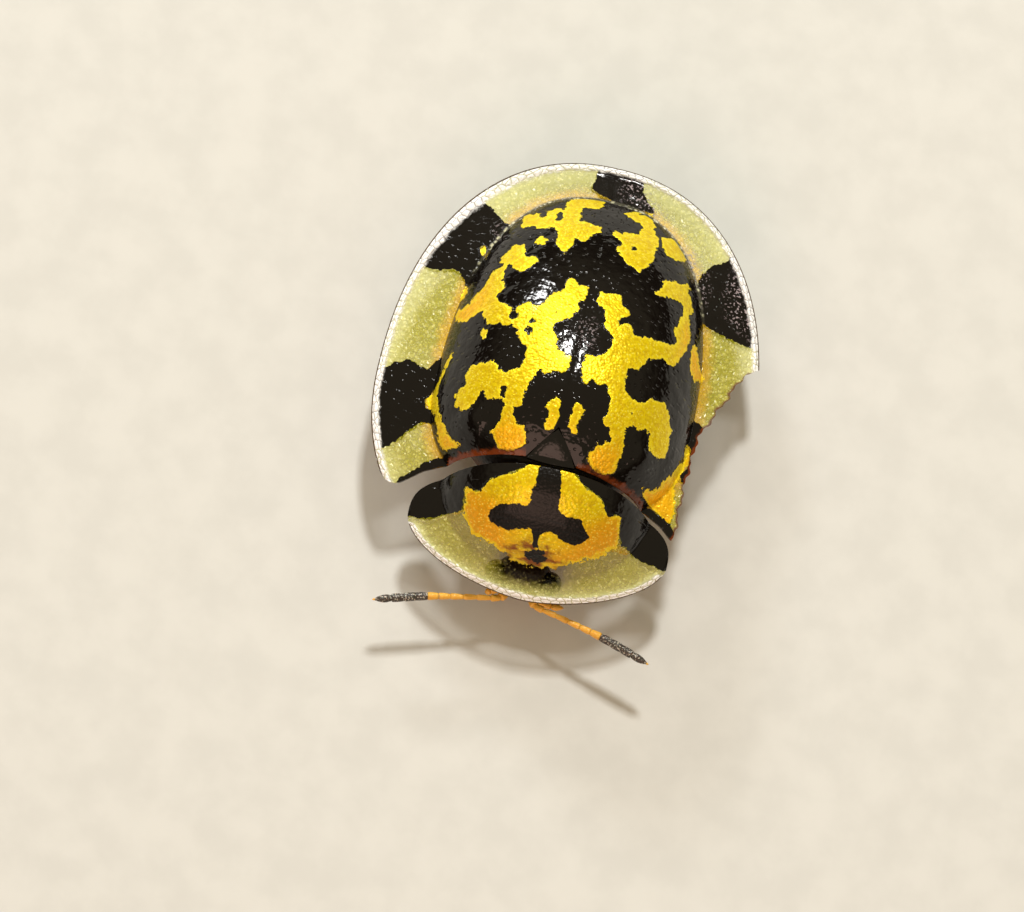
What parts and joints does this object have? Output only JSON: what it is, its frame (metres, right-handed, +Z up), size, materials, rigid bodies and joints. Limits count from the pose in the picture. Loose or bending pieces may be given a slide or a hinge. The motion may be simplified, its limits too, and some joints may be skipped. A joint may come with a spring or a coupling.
{
  "type": "tortoise beetle",
  "caption": "Life-size tortoise beetle with a domed black and gold shield and clear spread margins, standing on short legs",
  "frame": {"origin": "on the floor below the centre of the whole beetle's box, antennae included", "axes": "+Z up, head towards -Y and tail towards +Y, the beetle's left side towards +X"},
  "size_m": [0.0092, 0.0126, 0.0047],
  "materials": {
    "wing_case": "black shell with metallic gold patches, glossy",
    "pronotum": "amber shell, glossy",
    "black_plate": "glossy black",
    "head": "dark brown, satin",
    "eye": "glossy black",
    "trunk": "dark brown to black, satin",
    "limb": "orange yellow, satin"
  },
  "bodies": {
    "root": {"elytron_left": "wing_case", "elytron_right": "wing_case", "pronotum": "pronotum", "scutellum": "black_plate", "head": "head", "mouthparts": "limb", "eye_left": "eye", "eye_right": "eye", "antenna_left": "limb", "antenna_right": "limb", "prothorax": "trunk", "thorax": "trunk", "abdomen": "trunk", "leg_front_left": "limb", "leg_front_right": "limb", "leg_middle_left": "limb", "leg_middle_right": "limb", "leg_hind_left": "limb", "leg_hind_right": "limb"}
  },
  "joints": []
}
